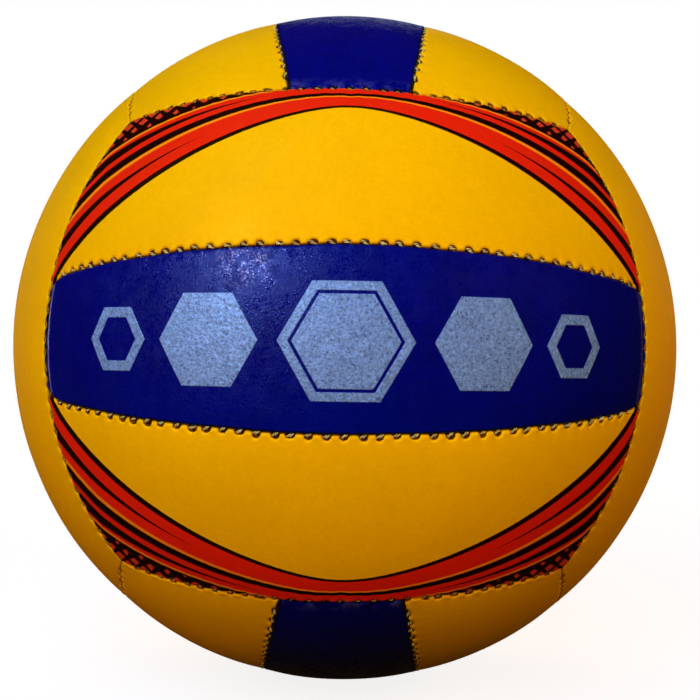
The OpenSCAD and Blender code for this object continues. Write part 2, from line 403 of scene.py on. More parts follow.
    def inward(ix):
        """Unit push towards the panel's middle for border vertices."""
        v = np.zeros((len(ix), 3))
        r_, c_ = ix // nc, ix % nc
        v += g[0][ix] * (r_ == 0)[:, None] + g[1][ix] * (r_ == nr - 1)[:, None]
        v += g[2][ix] * (c_ == 0)[:, None] + g[3][ix] * (c_ == nc - 1)[:, None]
        return v

    left_is = 2 if float((d[idx[nr // 2, 0]] @ four[2].n)) < float((d[idx[nr // 2, -1]] @ four[2].n)) else 3
    if left_is == 3:
        g[2], g[3] = g[3], g[2]
    low_is = 0 if q[0][idx[0, nc // 2]] < q[1][idx[0, nc // 2]] else 1
    if low_is == 1:
        g[0], g[1] = g[1], g[0]

    ring = np.concatenate([idx[0, :], idx[1:, -1], idx[-1, -2::-1], idx[-2:0:-1, 0]])
    n_ring = len(ring)
    push = inward(ring)
    base = flat[ring]

    def ring_at(depth, inset):
        p = base * R + push * inset
        p /= np.linalg.norm(p, axis=1)[:, None]
        return p * np.reshape(R - depth, (-1, 1))

    dr = drop[ring]
    loops = [ring]
    for depth, inset in ((dr + 0.9, 0.0), (np.maximum(dr + 0.9, 3.3) + 0.1, 0.0), (np.maximum(dr + 0.9, 3.3) + 0.1, 0.75), (np.maximum(dr + 0.9, 2.0) + 0.0, 0.8)):
        first = add(ring_at(depth, inset), ring)
        loops.append(first + np.arange(n_ring))
    strips = []
    for a_, b_ in zip(loops[:-1], loops[1:]):
        strips.append(np.stack([a_, b_, np.roll(b_, -1), np.roll(a_, -1)], -1))

    if hole:
        keep = np.hypot(X, Y)[quads].max(1) > 4.385
        quads_o = quads[keep]
        inner_r = R - np.maximum(drop + 0.3, 0.8)
        # move the border of the inner skin onto the last loop
        first = add(flat * inner_r[:, None], np.arange(len(outer)))
        inner_idx = first + np.arange(len(outer))
        remap = {int(a_): int(b_) for a_, b_ in zip(first + ring, loops[-1])}
        q_in = inner_idx[quads[keep]][:, ::-1]
        flatq = q_in.ravel()
        border = np.isin(flatq, np.array(list(remap)))
        flatq[border] = [remap[int(v)] for v in flatq[border]]
        q_in = flatq.reshape(-1, 4)
        # wall of the cut hole
        edges = {}
        for quad in quads_o[np.hypot(X, Y)[quads_o].min(1) < 4.5]:
            for a_, b_ in zip(quad, np.roll(quad, -1)):
                edges[(int(a_), int(b_))] = edges.get((int(a_), int(b_)), 0) + 1
        rim = [(a_, b_) for (a_, b_) in edges if (b_, a_) not in edges and np.hypot(X[a_], Y[a_]) < 4.4 and np.hypot(X[b_], Y[b_]) < 4.4]
        wall_q = [(b_, a_, int(inner_idx[a_]), int(inner_idx[b_])) for a_, b_ in rim]
        faces = [quads_o, *strips, q_in, np.array(wall_q)]
        ngons = []
    else:
        # coarse inner skin, joined to every vertex of the last loop
        def pick(n, step):
            k_ = list(range(len(BAND) - 1, n - len(BAND) + 1, step))
            if n - len(BAND) - k_[-1] < step / 2 and len(k_) > 1:
                k_.pop()
            return [0] + k_ + [n - len(BAND), n - 1]

        ci, ri = pick(nc, 14), pick(nr, 14)
        inner = {}
        pts, src = [], []
        for r_ in ri[1:-1]:
            for c_ in ci[1:-1]:
                v_ = idx[r_, c_]
                inner[(r_, c_)] = count + len(pts)
                pts.append(flat[v_] * (R - max(drop[v_] + 0.3, 0.8)))
                src.append(v_)
        add(np.array(pts), np.array(src))
        loop_of = {int(v): int(l) for v, l in zip(ring, loops[-1])}

        def run(r0, c0, r1, c1):
            """Vertices from one coarse corner towards the next, along the border where it lies on it."""
            if r0 == r1 and r0 in (0, nr - 1):
                step = 1 if c1 > c0 else -1
                return [loop_of[int(idx[r0, c])] for c in range(c0, c1, step)]
            if c0 == c1 and c0 in (0, nc - 1):
                step = 1 if r1 > r0 else -1
                return [loop_of[int(idx[r, c0])] for r in range(r0, r1, step)]
            if (r0, c0) in inner:
                return [inner[(r0, c0)]]
            return [loop_of[int(idx[r0, c0])]]

        ngons = []
        for r0, r1 in zip(ri[:-1], ri[1:]):
            for c0, c1 in zip(ci[:-1], ci[1:]):
                poly = run(r0, c0, r0, c1) + run(r0, c1, r1, c1) + run(r1, c1, r1, c0) + run(r1, c0, r0, c0)
                ngons.append(poly[::-1])
        faces = [quads, *strips]

    V = np.concatenate(verts)
    F = np.concatenate(faces)
    # outward winding: test one quad of the outside
    a_, b_, c_ = V[F[len(quads) // 3][0]], V[F[len(quads) // 3][1]], V[F[len(quads) // 3][2]]
    if np.cross(b_ - a_, c_ - a_) @ a_ < 0:
        F = F[:, ::-1]
        ngons = [p[::-1] for p in ngons]
    used = np.unique(np.concatenate([F.ravel(), np.array([v for p in ngons for v in p], int)]))
    new = np.full(len(V), -1)
    new[used] = np.arange(len(used))
    polys = new[F].tolist() + [new[np.array(p)].tolist() for p in ngons]
    name = f"{face}_{row}_skin"
    ob = new_mesh(name, V[used], polys)
    for key, parts in attrs.items():
        at = ob.data.attributes.new(key, "FLOAT", "POINT")
        at.data.foreach_set("value", np.concatenate(parts)[used].astype(np.float32))
    grid = dict(nr=nr, nc=nc, flat=flat, edge=np.minimum(np.minimum(q[0], q[1]), np.minimum(q[2], q[3])), X=X, Y=Y, hole=hole)
    return ob, grid


def build_pad(name, g):
    """Foam pad glued behind a panel: full in the middle, pressed thin towards the seams, round the valve if there is one."""
    nb = len(BAND)

    def pick(n, step):
        first = list(range(5, nb))
        if g["hole"]:
            mid = n // 2
            inner = list(range(mid - len(PATCH) + 1, mid + len(PATCH)))
            run = list(range(nb - 1 + step, inner[0] - step // 2, step))
            return first + run + inner + [n - 1 - k for k in run[::-1]] + [n - 1 - k for k in first[::-1]]
        run = list(range(nb - 1 + step, n - nb - step // 2, step))
        return first + run + [n - 1 - k for k in first[::-1]]

    ri, ci = pick(g["nr"], 6), pick(g["nc"], 8)
    ids = (np.array(ri)[:, None] * g["nc"] + np.array(ci)[None, :]).ravel()
    flat, e = g["flat"][ids], g["edge"][ids]
    puff = 104.1 - 1.55 * np.exp(-(((e - 0.9) / 1.5) ** 2)) - 0.05 * lumps(flat, 5)
    nr_, nc_ = len(ri), len(ci)
    idx = np.arange(nr_ * nc_).reshape(nr_, nc_)
    quads = np.stack([idx[:-1, :-1], idx[:-1, 1:], idx[1:, 1:], idx[1:, :-1]], -1).reshape(-1, 4)
    if g["hole"]:
        rr = np.hypot(g["X"][ids], g["Y"][ids])
        quads = quads[rr[quads].max(1) > 4.6]
        puff -= 0.35 * np.exp(-(((rr - 4.5) / 1.2) ** 2))
    a_, b_, c_ = flat[quads[0][0]], flat[quads[0][1]], flat[quads[0][2]]
    if np.cross(b_ - a_, c_ - a_) @ a_ < 0:
        quads = quads[:, ::-1]
    edges = {}
    for quad in quads.tolist():
        for i in range(4):
            edges[(quad[i], quad[(i + 1) % 4])] = True
    rim = [k for k in edges if (k[1], k[0]) not in edges]
    n = len(ids)
    low = 101.6
    rings = [flat * puff[:, None], flat * (0.45 * puff + 0.55 * low)[:, None], flat * low]
    # the side wall, in two rows through a middle ring
    polys = quads.tolist() + (quads[:, ::-1] + 2 * n).tolist()
    for a_, b_ in rim:
        polys.append([b_, a_, a_ + n, b_ + n])
        polys.append([b_ + n, a_ + n, a_ + 2 * n, b_ + 2 * n])
    V = np.concatenate(rings)
    used = np.unique(np.array([v for p_ in polys for v in p_]))
    new = np.full(len(V), -1)
    new[used] = np.arange(len(used))
    return new_mesh(name, V[used], [new[np.array(p_)].tolist() for p_ in polys])


PLACES = list(PLACE)


def new_mesh(name, V, polys, smooth_all=True):
    me = bpy.data.meshes.new(name)
    me.from_pydata((V * MM).tolist(), [], polys)
    me.update()
    if smooth_all:
        me.polygons.foreach_set("use_smooth", [True] * len(me.polygons))
    ob = bpy.data.objects.new(name, me)
    bpy.context.scene.collection.objects.link(ob)
    return ob


# ---------------------------------------------------------------- stitches
def build_stitches(name, seams):
    """Two-ply thread, one short loop over the seam at each stitch, its ends down in the needle holes."""
    V, polys, soil, amber = [], [], [], []
    count = 0
    sides, steps = 7, 13
    u = np.linspace(-1, 1, steps)
    for seam in seams:
        lean = 0.14 if seam.kind == "strip" else 0.24  # towards the notched side
        if seam.kind == "strip" and not seam.name.startswith(("front", "back")):
            lean = -0.12
        for k in range(seam.count):
            s0 = seam.s[k]
            reach = (0.92 if seam.kind == "edge" or lean < 0 else 1.04) * seam.long[k]
            cross = math.cos(seam.turn[k]) * u * reach - lean + seam.side[k]
            along = s0 + math.sin(seam.turn[k]) * u * reach
            line = seam.point(along, cross + seam.wander(np.full(steps, s0)))
            high = -(0.34 if seam.kind == "strip" else 0.46) - 0.16 * seam.deep[k] - 0.6 * seam.low[k] - 0.85 * np.abs(u) ** 3.2
            centre = line * (R + high)[:, None]
            tan = np.gradient(centre, axis=0)
            tan /= np.linalg.norm(tan, axis=1)[:, None]
            up = line - (line * tan).sum(1)[:, None] * tan
            up /= np.linalg.norm(up, axis=1)[:, None]
            side = np.cross(tan, up)
            r_ply = 0.225 if seam.kind == "strip" else 0.17
            soil += [seam.soil[k]] * (2 * sides * steps)
            amber += [float(seam.kind == "edge")] * (2 * sides * steps)
            for ply in (0, 1):
                a0 = math.pi * ply + seam.turn[k] * 3 + u * 2.6
                axis = centre + 0.88 * r_ply * (np.cos(a0)[:, None] * side + np.sin(a0)[:, None] * up)
                for j in range(steps):
                    fat = r_ply * (0.75 if j in (0, steps - 1) else 1.0)
                    for i in range(sides):
                        w = 2 * math.pi * i / sides
                        V.append(axis[j] + fat * (math.cos(w) * side[j] + math.sin(w) * up[j]))
                for j in range(steps - 1):
                    for i in range(sides):
                        a_ = count + j * sides + i
                        b_ = count + j * sides + (i + 1) % sides
                        polys.append((a_, b_, b_ + sides, a_ + sides))
                polys.append(tuple(count + i for i in range(sides))[::-1])
                polys.append(tuple(count + (steps - 1) * sides + i for i in range(sides)))
                count += sides * steps
    ob = new_mesh(name, np.array(V), polys)
    import bmesh

    bm = bmesh.new()
    bm.from_mesh(ob.data)
    bmesh.ops.recalc_face_normals(bm, faces=bm.faces)
    bm.to_mesh(ob.data)
    bm.free()
    for key, values in (("soil", soil), ("amber", amber)):
        at = ob.data.attributes.new(key, "FLOAT", "POINT")
        at.data.foreach_set("value", np.array(values, np.float32))
    return ob


# ---------------------------------------------------------------- material helpers
class Tree:
    def __init__(self, name):
        self.m = bpy.data.materials.new(name)
        self.m.use_nodes = True
        self.t = self.m.node_tree
        self.t.nodes.clear()
        self.out = self.t.nodes.new("ShaderNodeOutputMaterial")
        self.p = self.t.nodes.new("ShaderNodeBsdfPrincipled")
        self.t.links.new(self.p.outputs[0], self.out.inputs[0])
        co = self.t.nodes.new("ShaderNodeTexCoord")
        self.obj = co.outputs["Object"]

    def link(self, a, b):
        if hasattr(a, "is_output") or isinstance(a, bpy.types.NodeSocket):
            self.t.links.new(a, b)
        else:
            b.default_value = a

    def math(self, op, *xs, clamp=False):
        n = self.t.nodes.new("ShaderNodeMath")
        n.operation = op
        n.use_clamp = clamp
        for i, x in enumerate(xs):
            self.link(x, n.inputs[i])
        return n.outputs[0]

    def vec(self, op, *xs):
        n = self.t.nodes.new("ShaderNodeVectorMath")
        n.operation = op
        for i, x in enumerate(xs):
            self.link(x, n.inputs[i])
        return n.outputs["Value"] if op in ("LENGTH", "DISTANCE", "DOT_PRODUCT") else n.outputs[0]

    def scale(self, v, k):
        n = self.t.nodes.new("ShaderNodeVectorMath")
        n.operation = "SCALE"
        self.link(v, n.inputs[0])
        self.link(k, n.inputs["Scale"])
        return n.outputs[0]

    def noise(self, scale, detail=2.0, rough=0.5, vector=None, distort=0.0):
        n = self.t.nodes.new("ShaderNodeTexNoise")
        self.link(vector if vector is not None else self.obj, n.inputs["Vector"])
        n.inputs["Scale"].default_value = scale
        n.inputs["Detail"].default_value = detail
        n.inputs["Roughness"].default_value = rough
        n.inputs["Distortion"].default_value = distort
        return n.outputs[0]

    def voronoi(self, scale, feature="F1", vector=None, rand=1.0):
        n = self.t.nodes.new("ShaderNodeTexVoronoi")
        n.feature = feature
        self.link(vector if vector is not None else self.obj, n.inputs["Vector"])
        n.inputs["Scale"].default_value = scale
        n.inputs["Randomness"].default_value = rand
        return n.outputs["Distance"]

    def attr(self, name):
        n = self.t.nodes.new("ShaderNodeAttribute")
        n.attribute_name = name
        return n.outputs["Fac"]

    def mix(self, fac, a, b, kind="MIX"):
        n = self.t.nodes.new("ShaderNodeMix")
        n.data_type = "RGBA"
        n.blend_type = kind
        self.link(fac, n.inputs[0])
        self.link(a if not isinstance(a, tuple) else (*a, 1)[:4], n.inputs[6])
        self.link(b if not isinstance(b, tuple) else (*b, 1)[:4], n.inputs[7])
        return n.outputs[2]

    def span(self, x, a, b, c=0.0, d=1.0, kind="LINEAR"):
        n = self.t.nodes.new("ShaderNodeMapRange")
        n.interpolation_type = kind
        self.link(x, n.inputs[0])
        for i, v in enumerate((a, b, c, d)):
            self.link(v, n.inputs[i + 1])
        return n.outputs[0]

    def step(self, x, at, soft=0.10):
        """0 below `at`, 1 above, over a print's sharp edge."""
        return self.span(x, at - soft, at + soft)

    def bump(self, height, strength, distance, normal=None):
        n = self.t.nodes.new("ShaderNodeBump")
        self.link(height, n.inputs["Height"])
        n.inputs["Strength"].default_value = strength
        n.inputs["Distance"].default_value = distance
        if normal is not None:
            self.link(normal, n.inputs["Normal"])
        return n.outputs[0]


YELLOW = (0.955, 0.53, 0.0)
BLUE = (0.0006, 0.0012, 0.165)
RED = (0.80, 0.017, 0.003)
BLACK = (0.010, 0.0007, 0.0006)
AMBER = (0.97, 0.29, 0.004)
FOIL = (0.195, 0.36, 0.73)


def stains_dirt_and_painted_shade(T, colour, recess_dirt_and_shade=(0.088, 0.016, 0.0006), dust=(0.10, 0.055, 0.008), strong=0.42):
    """Soft stains, with dirt and painted shade darkening the seam groove, the stitch holes and the deep notches."""
    blotch = T.noise(34, 4, 0.62)
    tone = T.span(blotch, 0.3, 0.75, 0.95, 1.035)
    mottle = T.math("MULTIPLY", T.span(T.noise(420, 3, 0.6), 0.25, 0.75, 0.965, 1.03), T.span(T.noise(1250, 2, 0.6), 0.3, 0.7, 0.965, 1.03))
    colour = T.mix(1.0, colour, T.math("MULTIPLY", tone, mottle), "MULTIPLY")
    seam = T.attr("seam")
    # painted shade, partly dust: the seam groove is darkened
    seam_dust_and_shade = T.math("MULTIPLY", T.span(seam, 0.76, 1.0, 0.0, strong), T.span(T.noise(180, 3, 0.6), 0.3, 0.7, 0.35, 1.0))
    colour = T.mix(seam_dust_and_shade, colour, dust)
    # painted shadow, partly dirt, in the stitch holes
    holes = T.span(T.attr("hole"), 0.22, 0.62, 0.0, 0.95, "SMOOTHSTEP")
    colour = T.mix(holes, colour, recess_dirt_and_shade)
    # painted shade where the surface drops deep into the notches
    deep = T.span(T.attr("drop"), 0.62, 1.2, 0.0, 0.9)
    return T.mix(deep, colour, recess_dirt_and_shade)


def leather_bump(T, strength=0.2, crisp=False):
    """Fine pebbled grain of coated synthetic leather, with finer pores and a few long creases."""
    warp = T.vec("ADD", T.obj, T.scale(T.vec("SUBTRACT", T.noise_colour(240), (0.5, 0.5, 0.5)), 0.0009))
    cell = T.voronoi(1050, "SMOOTH_F1", warp, 0.95)
    pores = T.noise(3400, 2, 0.6)
    wave = T.noise(560, 3, 0.6)
    if crisp:
        fine = T.span(T.noise(2300, 2, 0.7), 0.35, 0.7)
        h = T.math("ADD", T.math("MULTIPLY", cell, 0.22), T.math("MULTIPLY", wave, 0.22))
        h = T.math("ADD", h, T.math("MULTIPLY", fine, T.span(T.noise(240, 2, 0.6), 0.4, 0.62, 0.10, 0.42)))
    else:
        h = T.math("ADD", T.math("MULTIPLY", cell, 0.7), T.math("MULTIPLY", pores, 0.3))
        h = T.math("ADD", h, T.math("MULTIPLY", wave, 0.8))
    return T.bump(h, strength, 0.00022)


def _noise_colour(self, scale):
    n = self.t.nodes.new("ShaderNodeTexNoise")
    self.link(self.obj, n.inputs["Vector"])
    n.inputs["Scale"].default_value = scale
    n.inputs["Detail"].default_value = 2
    return n.outputs["Color"]


Tree.noise_colour = _noise_colour


def cover(name, base, printed=None, spec=0.25, rough=(0.36, 0.5), grain=0.2, tint=(1.0, 0.72, 0.03)):
    T = Tree(name)
    colour = base
    metal = None
    if printed == "wings":
        colour = wings(T, base)
    if printed == "foil":
        mask = hexagons(T)
    if base == BLUE:  # at the strip's ends, painted shade in the gap beyond the fold and a painted highlight along its crest, drawn as cracked film; the film is also rubbed here and there
        at, worn = T.attr("ends"), T.attr("worn")
        tone = T.math("MULTIPLY", T.span(T.noise(75, 3, 0.6), 0.3, 0.7, 0.86, 1.15), T.span(T.noise(900, 3, 0.7), 0.3, 0.7, 0.88, 1.12))
        colour = T.mix(1.0, colour, tone, "MULTIPLY")
        ragged = T.span(T.noise(120, 3, 0.6), 0.3, 0.7, -0.28, 0.28)
        q = T.math("ADD", at, ragged)
        some = T.math("MULTIPLY", worn, T.span(T.noise(30, 2, 0.5), 0.36, 0.46, 0.0, 1.0))
        some = T.math("MAXIMUM", some, T.math("SUBTRACT", T.math("MULTIPLY", worn, 1.6), 0.7), clamp=True)
        # painted shade: the gap at the turned end, near-black
        painted_gap_shade = T.math("SUBTRACT", 1.0, T.step(q, 2.3, 0.12))
        colour = T.mix(T.math("MULTIPLY", painted_gap_shade, some), colour, (0.002, 0.001, 0.004))
        # painted highlight: a pale line along the fold's crest, drawn as worn film
        line = T.math("SUBTRACT", 0.33, T.math("ABSOLUTE", T.math("SUBTRACT", q, 2.7)))
        line = T.math("MULTIPLY", T.step(line, 0.0, 0.10), T.math("MULTIPLY", some, T.span(T.noise(210, 3, 0.6), 0.3, 0.6, 0.45, 0.95)))
        colour = T.mix(line, colour, (0.36, 0.36, 0.86))
        fleck = T.math("MULTIPLY", T.span(T.noise(900, 4, 0.75), 0.66, 0.74), T.span(T.noise(45, 2, 0.5), 0.5, 0.66, 0.0, 0.22))
        colour = T.mix(fleck, colour, (0.10, 0.13, 0.42))
        cloud = T.math("MULTIPLY", T.span(T.noise(260, 4, 0.7), 0.46, 0.66, 0.0, 0.8), T.span(at, 0.7, 4.6, 1.0, 0.0, "SMOOTHSTEP"))
        colour = T.mix(cloud, colour, (0.045, 0.048, 0.27))
        if printed == "foil":  # a lighter blue along the lower side, painted light drawn as fading, and a patch of pale painted glints beside the upper seam, drawn as fine scuffs
            # painted light: the lower side made a lighter blue
            fade = T.math("MULTIPLY", T.span(T.attr("ay"), -2.0, -21.0, 0.0, 0.9, "SMOOTHSTEP"), T.span(T.noise(70, 3, 0.6), 0.3, 0.7, 0.5, 1.0))
            fade = T.math("MULTIPLY", fade, T.span(T.attr("ax"), 30.0, 62.0, 1.0, 0.0, "SMOOTHSTEP"))
            colour = T.mix(fade, colour, (0.0006, 0.0035, 0.228))
            # painted glints: pale flecks in the patch where the highlight falls
            sx = T.math("MULTIPLY", T.math("ADD", T.attr("ax"), 25.0), 1 / 5.4)
            sy = T.math("MULTIPLY", T.math("SUBTRACT", T.attr("ay"), 18.4), 1 / 4.8)
            far = T.math("POWER", T.math("ADD", T.math("MULTIPLY", sx, sx), T.math("MULTIPLY", sy, sy)), 0.5)
            near = T.math("MULTIPLY", worn, T.span(far, 0.3, 1.7, 1.0, 0.0, "SMOOTHSTEP"))
            painted_glints = T.math("MULTIPLY", T.span(T.noise(1500, 4, 0.75), 0.52, 0.63), T.span(T.noise(330, 2, 0.6), 0.38, 0.54))
            colour = T.mix(T.math("MULTIPLY", near, painted_glints), colour, (0.46, 0.46, 0.90))
    if base == BLUE:
        # painted shade along the strip's side seams
        soot = T.math("MULTIPLY", T.attr("soot"), T.span(T.noise(260, 3, 0.6), 0.3, 0.5, 0.55, 0.97))
        colour = T.mix(soot, colour, (0.003, 0.002, 0.004))
        # painted shade: near-black in the blue's seam groove, stitch holes and deep notches, beside some dirt
        colour = stains_dirt_and_painted_shade(T, colour, (0.003, 0.002, 0.004), (0.003, 0.002, 0.005), 0.9)
    else:
        colour = stains_dirt_and_painted_shade(T, colour)
    r = T.span(T.noise(430, 3, 0.65), 0.32, 0.68, rough[0], rough[1])
    r = T.math("ADD", r, T.span(T.noise(60, 3, 0.5), 0.35, 0.7, -0.03, 0.05))
    if base == BLUE:  # spots where the film is still smooth
        spots = T.math("MULTIPLY", T.span(T.noise(1800, 2, 0.6), 0.50, 0.58), T.span(T.noise(230, 2, 0.6), 0.40, 0.54))
        r = T.mix_value(spots, r, 0.11)
    normal = leather_bump(T, grain, base == BLUE)
    if printed == "foil":
        peb = T.voronoi(900, "SMOOTH_F1", None, 1.0)
        tone = T.math("MULTIPLY", T.span(T.noise(1250, 3, 0.7), 0.3, 0.7, 0.6, 1.42), T.span(T.noise(300, 2, 0.6), 0.3, 0.7, 0.9, 1.1))
        foil = T.mix(1.0, FOIL, tone, "MULTIPLY")
        worn = T.span(T.noise(1700, 2, 0.6), 0.30, 0.42, 0.0, 1.0)
        cover_ = T.math("MULTIPLY", mask, T.math("MAXIMUM", worn, 0.45))
        colour = T.mix(cover_, colour, foil)
        r = T.mix_value(mask, r, T.span(T.noise(1300, 2, 0.5), 0.3, 0.7, 0.38, 0.6))
        h = T.math("ADD", T.math("MULTIPLY", peb, 0.9), T.math("MULTIPLY", T.noise(1500, 3, 0.6), 0.8))
        h = T.math("MULTIPLY", h, mask)
        normal = T.bump(h, 0.55, 0.00022, normal)
        T.link(T.math("MULTIPLY", mask, 0.24), T.p.inputs["Metallic"])
    T.link(colour, T.p.inputs["Base Color"])
    T.link(r, T.p.inputs["Roughness"])
    T.link(normal, T.p.inputs["Normal"])
    T.p.inputs["Specular IOR Level"].default_value = spec
    T.p.inputs["Specular Tint"].default_value = (*tint, 1)
    return T.m


def _mix_value(self, fac, a, b):
    n = self.t.nodes.new("ShaderNodeMix")
    n.data_type = "FLOAT"
    self.link(fac, n.inputs[0])
    self.link(a, n.inputs[2])
    self.link(b, n.inputs[3])
    return n.outputs[0]


Tree.mix_value = _mix_value


def wings(T, base):
    """Printed wing stripes at both ends of an outer strip: bands that run out from the bare lens in the middle."""
    w, ax, ay = T.attr("wing"), T.attr("ax"), T.attr("ay")
    a = T.math("ABSOLUTE", ax)
    g = T.span(a, 0.0, 70.0, 0.40, 1.0)
    h = T.math("DIVIDE", w, g)  # bands widen towards the ends

    def band(lo, hi):
        return T.math("MULTIPLY", T.step(h, lo), T.math("SUBTRACT", 1.0, T.step(h, hi)))

    c = T.mix(T.step(w, 0.0, 0.08), base, BLACK)
    c = T.mix(T.step(h, 2.0), c, RED)
    c = T.mix(band(10.6, 11.8), c, AMBER)
    c = T.mix(band(11.8, 14.6), c, BLACK)
    # blades in the red fields, sharp at their inner ends
    for lo, at, end, width in ((5.8, 30.0, 96.0, 1.7), (17.2, 14.0, 92.0, 2.3)):
        wide = T.span(a, at, end, -0.25, width)
        mid = T.math("ADD", T.math("MULTIPLY", a, 0.012), lo)
        dist = T.math("SUBTRACT", wide, T.math("ABSOLUTE", T.math("SUBTRACT", h, mid)))
        c = T.mix(T.step(dist, 0.0), c, BLACK)
    c = T.mix(band(20.4, 21.3), c, AMBER)
    # black corner with a small lattice of red lozenges
    c = T.mix(T.step(h, 21.3), c, BLACK)
    px = T.math("MULTIPLY", T.math("ADD", ax, ay), 1 / 5.6)
    py = T.math("MULTIPLY", T.math("SUBTRACT", ax, ay), 1 / 5.6)
    fx = T.math("ABSOLUTE", T.math("SUBTRACT", T.math("FRACT", px), 0.5))
    fy = T.math("ABSOLUTE", T.math("SUBTRACT", T.math("FRACT", py), 0.5))
    size = T.math("MULTIPLY", T.span(h, 22.0, 27.0, 0.12, 0.34), T.span(a, 16.0, 34.0, 0.0, 1.0))
    loz = T.math("SUBTRACT", size, T.math("MAXIMUM", fx, fy))
    loz = T.math("MULTIPLY", T.step(loz, 0.0, 0.03), T.step(h, 22.1))
    c = T.mix(loz, c, (0.70, 0.05, 0.012))
    return c


def hexagons(T):
    """A row of five foil hexagons along the middle strip: one large with an inset line, two, and two rings."""
    ax, ay = T.attr("ax"), T.attr("ay")
    total = None

    def hexa(cx, r):
        x = T.math("ABSOLUTE", T.math("SUBTRACT", ax, cx))
        y = T.math("ABSOLUTE", ay)
        slant = T.math("ADD", T.math("MULTIPLY", x, 0.8660254), T.math("MULTIPLY", y, 0.5))
        d = T.math("MAXIMUM", slant, y)
        return T.math("SUBTRACT", r, d)  # positive inside, mm

    def inside(d):
        return T.step(d, 0.0, 0.10)

    big = hexa(0.0, 14.2)
    ring = T.math("SUBTRACT", 0.42, T.math("ABSOLUTE", T.math("SUBTRACT", big, 2.6)))
    total = T.math("MULTIPLY", inside(big), T.math("SUBTRACT", 1.0, inside(ring)))
    for cx in (-34.0, 34.0):
        total = T.math("MAXIMUM", total, inside(hexa(cx, 11.2)))
    for cx in (-60.5, 60.5):
        h = hexa(cx, 7.9)
        open_ = T.math("SUBTRACT", h, 2.5)
        total = T.math("MAXIMUM", total, T.math("MULTIPLY", inside(h), T.math("SUBTRACT", 1.0, inside(open_))))
    return total


def thread_material():
    T = Tree("polyester_thread")
    fibre = T.noise(5200, 2, 0.6)
    tone = T.span(T.noise(260, 3, 0.6), 0.3, 0.7, 0.0, 1.0)
    c = T.mix(tone, (0.82, 0.76, 0.30), (0.52, 0.44, 0.09))
    c = T.mix(T.math("MULTIPLY", T.attr("amber"), 0.9), c, (0.70, 0.29, 0.008))
    c = T.mix(T.span(fibre, 0.35, 0.7, 0.0, 0.5), c, (0.16, 0.08, 0.008))
    c = T.mix(T.math("MULTIPLY", T.attr("soil"), 0.9, clamp=True), c, (0.26, 0.095, 0.004))
    T.link(c, T.p.inputs["Base Color"])
    T.link(T.span(fibre, 0.3, 0.7, 0.62, 0.85), T.p.inputs["Roughness"])
    T.link(T.bump(fibre, 0.5, 0.0001), T.p.inputs["Normal"])
    T.p.inputs["Specular IOR Level"].default_value = 0.25
    return T.m


def rubber_material(name, base, light, rough, scale=700, bump=0.25):
    T = Tree(name)
    dust = T.span(T.noise(90, 4, 0.65), 0.42, 0.75, 0.0, 0.55)
    c = T.mix(dust, base, light)
    c = T.mix(T.span(T.noise(scale * 2.2, 2, 0.5), 0.3, 0.7, 0.0, 0.25), c, light)
    T.link(c, T.p.inputs["Base Color"])
    T.link(T.span(T.noise(scale, 3, 0.6), 0.3, 0.7, rough - 0.08, rough + 0.1), T.p.inputs["Roughness"])
    h = T.math("ADD", T.noise(scale, 3, 0.6), T.math("MULTIPLY", T.noise(scale * 4, 2, 0.5), 0.4))
    T.link(T.bump(h, bump, 0.00015), T.p.inputs["Normal"])
    T.p.inputs["Specular IOR Level"].default_value = 0.35
    return T.m


def foam_material():
    T = Tree("closed_cell_foam")
    cell = T.voronoi(1500, "F1", None, 1.0)
    c = T.mix(T.span(cell, 0.1, 0.55, 0.0, 1.0), (0.80, 0.77, 0.68), (0.62, 0.57, 0.45))
    c = T.mix(T.span(T.noise(60, 3, 0.6), 0.4, 0.7, 0.0, 0.4), c, (0.74, 0.62, 0.36))
    T.link(c, T.p.inputs["Base Color"])
    T.link(T.span(cell, 0.0, 0.6, 0.75, 0.92), T.p.inputs["Roughness"])
    T.link(T.bump(cell, 0.7, 0.0003), T.p.inputs["Normal"])
    T.p.inputs["Specular IOR Level"].default_value = 0.2
    return T.m


def cloth_material():
    """Plain weave in three directions, so that it needs no mapping."""
    T = Tree("woven_lining")
    n = T.t.nodes.new("ShaderNodeSeparateXYZ")
    T.link(T.obj, n.inputs[0])
    waves = [T.math("SINE", T.math("MULTIPLY", n.outputs[i], 2 * math.pi / 0.0011)) for i in range(3)]
    h = T.math("MAXIMUM", T.math("MULTIPLY", waves[0], waves[1]), T.math("MULTIPLY", waves[1], waves[2]))
    h = T.math("MAXIMUM", h, T.math("MULTIPLY", waves[0], waves[2]))
    c = T.mix(T.span(h, -0.4, 0.9, 0.0, 1.0), (0.55, 0.53, 0.48), (0.78, 0.77, 0.73))
    c = T.mix(T.span(T.noise(50, 3, 0.6), 0.4, 0.7, 0.0, 0.35), c, (0.66, 0.60, 0.45))
    T.link(c, T.p.inputs["Base Color"])
    T.link(T.span(h, -0.5, 1.0, 0.92, 0.8), T.p.inputs["Roughness"])
    T.link(T.bump(h, 0.6, 0.0002), T.p.inputs["Normal"])
    T.p.inputs["Specular IOR Level"].default_value = 0.15
    return T.m


